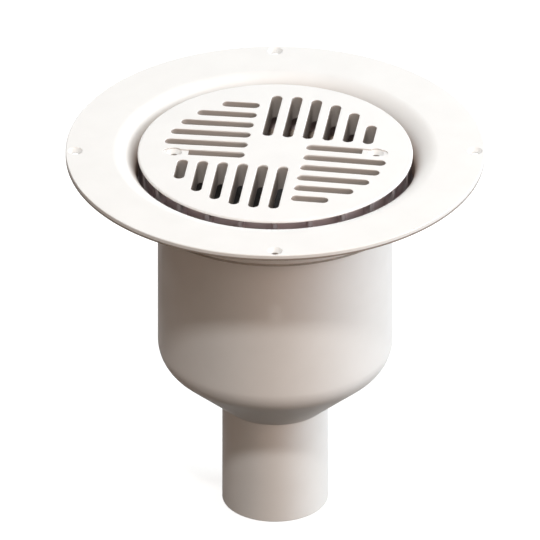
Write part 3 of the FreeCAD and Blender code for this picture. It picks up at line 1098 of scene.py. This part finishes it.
    def locator(self) -> Skin:
        """Ring under the plate that centres the grate, let into the plate.

        Returns:
            Its closed surface.
        """
        outer, inner = self.locator_r, self.locator_r - self.rib_t
        root, foot = self.let_in - self.plate, -self.locator_depth
        return lathe(np.array([(outer, root), (outer, foot), (inner, foot), (inner, root)]),
                     self.segments, closed=True)

    def rib(self) -> Skin:
        """Stiffening rib between two blocks, let into the plate."""
        middle = (self.slot_start - self.slot_first) / 2
        return slab((-middle - self.rib_t / 2, middle - self.rib_t / 2, -self.rib_depth),
                    (self.reach_r, middle + self.rib_t / 2, self.let_in - self.plate))

    def skin(self) -> Skin:
        """Whole grate: slots, ribs, crowned top, underside, rim and locating ring.

        The first row of every other block is a screw row.

        Returns:
            A closed surface, with the ribs let into its underside.
        """
        pieces: list[Skin] = []
        top_loops = [circle(self.radius - self.rim_round, self.segments)]
        low_loops = [circle(self.radius, self.segments)]
        for block in range(self.block_count):
            angle = self.turn + block * 360 / self.block_count
            for i, (y, span) in enumerate(self.rows()):
                has_screw = i == 0 and block % 2 == 0
                slot = self.screw_slot(span[1], y) if has_screw else self.plain_slot(span, y)
                pieces.append(slot.surface.turned(angle))
                top_loops.append(turned_outline(slot.mouth, angle))
                low_loops += [turned_outline(foot, angle) for foot in slot.feet]
            pieces.append(self.rib().turned(angle))
        pieces.append(filled(top_loops, self.top, self.top_spacing))
        pieces.append(filled(low_loops, level(-self.plate), self.under_spacing))
        pieces.append(lathe(self.rim_path(), self.segments))
        pieces.append(self.locator())
        return joined(pieces)

    def build(self) -> bpy.types.Object:
        """Puts the grate into the scene in place of its node."""
        return put("slotted_grate", self.skin(), GRATE_WHITE.build(), [Part.GRATE])


@dataclass
class InnerParts:
    """Clamping ring, sleeves and water trap, whose solids already have their real shape."""

    finishes: dict[Part, Moulding | TurnedBrass] = field(default_factory=lambda: {
        Part.RING: RING_GREY, Part.INSERTS: SLEEVE_BRASS, Part.FUNNEL: TRAP_GREY,
        Part.CUP: TRAP_GREY, Part.SEAL: SEAL_BLACK})

    def build(self) -> None:
        """Gives each node its finish. Nodes of one finish share one material."""
        made = {finish.name: finish.build() for finish in dict.fromkeys(self.finishes.values())}
        for part, finish in self.finishes.items():
            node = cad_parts[part.value]
            node.data.materials.clear()
            node.data.materials.append(made[finish.name])
            log.info("%s: finish %s", part.value, finish.name)


@dataclass(frozen=True)
class Lamp:
    """Round area lamp that shines on the drain's middle.

    azimuth is 0 at the front and 90 on the right, and both angles are in degrees. distance and size
    are in metres and power is in watts.
    """

    name: str
    azimuth: float
    elevation: float
    distance: float
    size: float
    power: float
    colour: Tone

    def build(self, target: Vector) -> None:
        """Places the lamp.

        Args:
            target: the point that it shines on.
        """
        a, e = math.radians(self.azimuth), math.radians(self.elevation)
        away = Vector((math.sin(a) * math.cos(e), -math.cos(a) * math.cos(e), math.sin(e)))
        data = bpy.data.lights.new(self.name, "AREA")
        data.shape = "DISK"
        data.size = self.size
        data.energy = self.power
        data.color = self.colour
        lamp = bpy.data.objects.new(self.name, data)
        lamp.location = target + away * self.distance
        lamp.rotation_mode = "QUATERNION"
        lamp.rotation_quaternion = (-away).to_track_quat("-Z", "Y")
        bpy.context.scene.collection.objects.link(lamp)


@dataclass
class Studio:
    """Pale floor, soft lamps, dim surroundings and the camera. Lengths are in metres.

    The front lamp throws the flange's shadow on the bowl, and the lamps at the sides shade the bowl
    from warm on the left to cool on the right. floor_bounce is the colour of the light that the
    floor gives back, and floor_tone and floor_glow make it look white. The surroundings run from
    black on the left to bright_side on the right, times horizon_share at the horizon and high_share
    from high_z upwards.
    """

    elevation: float = 30.0
    view_width: float = 0.38244
    aim: tuple[float, float, float] = (-0.00368, -0.04221, -0.06991)
    camera_distance: float = 2.0
    target: Vector = field(default_factory=lambda: Vector((0.0, 0.0, -0.08)))
    floor_r: float = 6.0
    floor_bounce: Tone = (0.03, 0.024, 0.018)
    floor_tone: Tone = (0.5, 0.5, 0.5)
    floor_glow: float = 0.75
    bright_side: Tone = (0.87, 0.84, 0.77)
    horizon_share: float = 0.45
    high_share: float = 1.12
    high_z: float = 0.4
    lamps: tuple[Lamp, ...] = (
        Lamp("top_lamp", 180.0, 78.0, 2.0, 0.6, 8.6, (0.85, 0.91, 1.0)),
        Lamp("front_lamp", 0.0, 53.6, 4.0, 0.34, 51.8, (1.0, 0.978, 0.95)),
        Lamp("right_lamp", 95.0, 15.0, 2.0, 1.2, 25.4, (0.72, 0.885, 1.0)),
        Lamp("side_lamp", 60.0, 18.0, 2.0, 1.0, 11.2, (1.0, 0.68, 0.54)),
        Lamp("left_lamp", 320.0, 18.0, 2.0, 1.0, 3.4, (1.0, 0.55, 0.34)),
        Lamp("back_lamp", 190.0, 4.5, 2.0, 0.4, 11.5, (1.0, 0.99, 0.97)),
    )

    def build_camera(self) -> None:
        """Camera without perspective, that looks from the front and down at the drain."""
        e = math.radians(self.elevation)
        along = Vector((0.0, math.cos(e), -math.sin(e)))
        data = bpy.data.cameras.new("camera")
        data.type = "ORTHO"
        data.ortho_scale = self.view_width
        camera = bpy.data.objects.new("camera", data)
        camera.location = Vector(self.aim) - along * self.camera_distance
        camera.rotation_mode = "QUATERNION"
        camera.rotation_quaternion = along.to_track_quat("-Z", "Y")
        bpy.context.scene.collection.objects.link(camera)
        bpy.context.scene.camera = camera

    def seen_directly(self, tree: bpy.types.NodeTree) -> bpy.types.NodeSocket:
        """Tells light that is seen from light that is scattered.

        Args:
            tree: the nodes to add to.

        Returns:
            A socket that is 1 for rays from the camera, mirrors and glass, and 0 for the rest.
        """
        path = tree.nodes.new("ShaderNodeLightPath")
        share = path.outputs["Is Camera Ray"]
        for kind in ("Is Glossy Ray", "Is Transmission Ray"):
            either = tree.nodes.new("ShaderNodeMath")
            either.operation = "MAXIMUM"
            tree.links.new(share, either.inputs[0])
            tree.links.new(path.outputs[kind], either.inputs[1])
            share = either.outputs["Value"]
        return share

    def floor_finish(self) -> bpy.types.Material:
        """Floor that looks white where nothing shades it and gives little light back.

        It has one side only, so the drain can be seen from below.

        Returns:
            The material.
        """
        material = bpy.data.materials.new("pale_floor")
        material.use_nodes = True
        nodes, link = material.node_tree.nodes, material.node_tree.links.new
        nodes.clear()
        out = nodes.new("ShaderNodeOutputMaterial")
        dull = nodes.new("ShaderNodeBsdfDiffuse")
        dull.inputs["Color"].default_value = (*self.floor_bounce, 1.0)
        pale = nodes.new("ShaderNodeBsdfDiffuse")
        pale.inputs["Color"].default_value = (*self.floor_tone, 1.0)
        glow = nodes.new("ShaderNodeEmission")
        glow.inputs["Strength"].default_value = self.floor_glow
        both = nodes.new("ShaderNodeAddShader")
        pick = nodes.new("ShaderNodeMixShader")
        facing = nodes.new("ShaderNodeNewGeometry")
        clear = nodes.new("ShaderNodeBsdfTransparent")
        sided = nodes.new("ShaderNodeMixShader")
        link(pale.outputs["BSDF"], both.inputs[0])
        link(glow.outputs["Emission"], both.inputs[1])
        link(self.seen_directly(material.node_tree), pick.inputs["Fac"])
        link(dull.outputs["BSDF"], pick.inputs[1])
        link(both.outputs["Shader"], pick.inputs[2])
        link(facing.outputs["Backfacing"], sided.inputs["Fac"])
        link(pick.outputs["Shader"], sided.inputs[1])
        link(clear.outputs["BSDF"], sided.inputs[2])
        link(sided.outputs["Shader"], out.inputs["Surface"])
        return material

    def build_floor(self) -> None:
        """Round floor under the spigot's end."""
        outline = raised(circle(self.floor_r, 64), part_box(Part.BODY.value)[0].z)
        mesh = bpy.data.meshes.new("floor")
        mesh.from_pydata(outline.tolist(), [], [list(range(len(outline)))])
        mesh.materials.append(self.floor_finish())
        floor = bpy.data.objects.new("floor", mesh)
        bpy.context.scene.collection.objects.link(floor)

    def build_world(self) -> None:
        """Surroundings that brighten from left to right and from the horizon upwards."""
        world = bpy.data.worlds.new("surroundings")
        world.use_nodes = True
        bpy.context.scene.world = world
        nodes, link = world.node_tree.nodes, world.node_tree.links.new
        nodes.clear()
        out = nodes.new("ShaderNodeOutputWorld")
        lit = nodes.new("ShaderNodeBackground")
        plain = nodes.new("ShaderNodeBackground")
        plain.inputs["Color"].default_value = (1.0, 1.0, 1.0, 1.0)
        place = nodes.new("ShaderNodeTexCoord")
        split = nodes.new("ShaderNodeSeparateXYZ")
        spread = nodes.new("ShaderNodeMapRange")
        spread.inputs["From Min"].default_value = -1.0
        spread.inputs["From Max"].default_value = 1.0
        climb = nodes.new("ShaderNodeMapRange")
        climb.inputs["From Max"].default_value = self.high_z
        climb.inputs["To Min"].default_value = self.horizon_share
        climb.inputs["To Max"].default_value = self.high_share
        tone = nodes.new("ShaderNodeMix")
        tone.data_type = "RGBA"
        tone.inputs["A"].default_value = (0.0, 0.0, 0.0, 1.0)
        tone.inputs["B"].default_value = (*self.bright_side, 1.0)
        pick = nodes.new("ShaderNodeMixShader")
        link(place.outputs["Generated"], split.inputs["Vector"])
        link(split.outputs["X"], spread.inputs["Value"])
        link(spread.outputs["Result"], tone.inputs["Factor"])
        link(split.outputs["Z"], climb.inputs["Value"])
        link(tone.outputs["Result"], lit.inputs["Color"])
        link(climb.outputs["Result"], lit.inputs["Strength"])
        link(self.seen_directly(world.node_tree), pick.inputs["Fac"])
        link(lit.outputs["Background"], pick.inputs[1])
        link(plain.outputs["Background"], pick.inputs[2])
        link(pick.outputs["Shader"], out.inputs["Surface"])

    def build(self) -> None:
        """Builds the whole studio."""
        self.build_camera()
        self.build_floor()
        self.build_world()
        for lamp in self.lamps:
            lamp.build(self.target)
        bpy.context.scene.view_settings.view_transform = "Standard"
        log.info("studio: %d lamps", len(self.lamps))


def main() -> None:
    """Builds each piece in turn, then the studio."""
    logging.basicConfig(level=logging.INFO, format="%(message)s")
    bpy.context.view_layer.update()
    DrainBody().build()
    Grate().build()
    InnerParts().build()
    Studio().build()


if __name__ == "__main__":
    main()
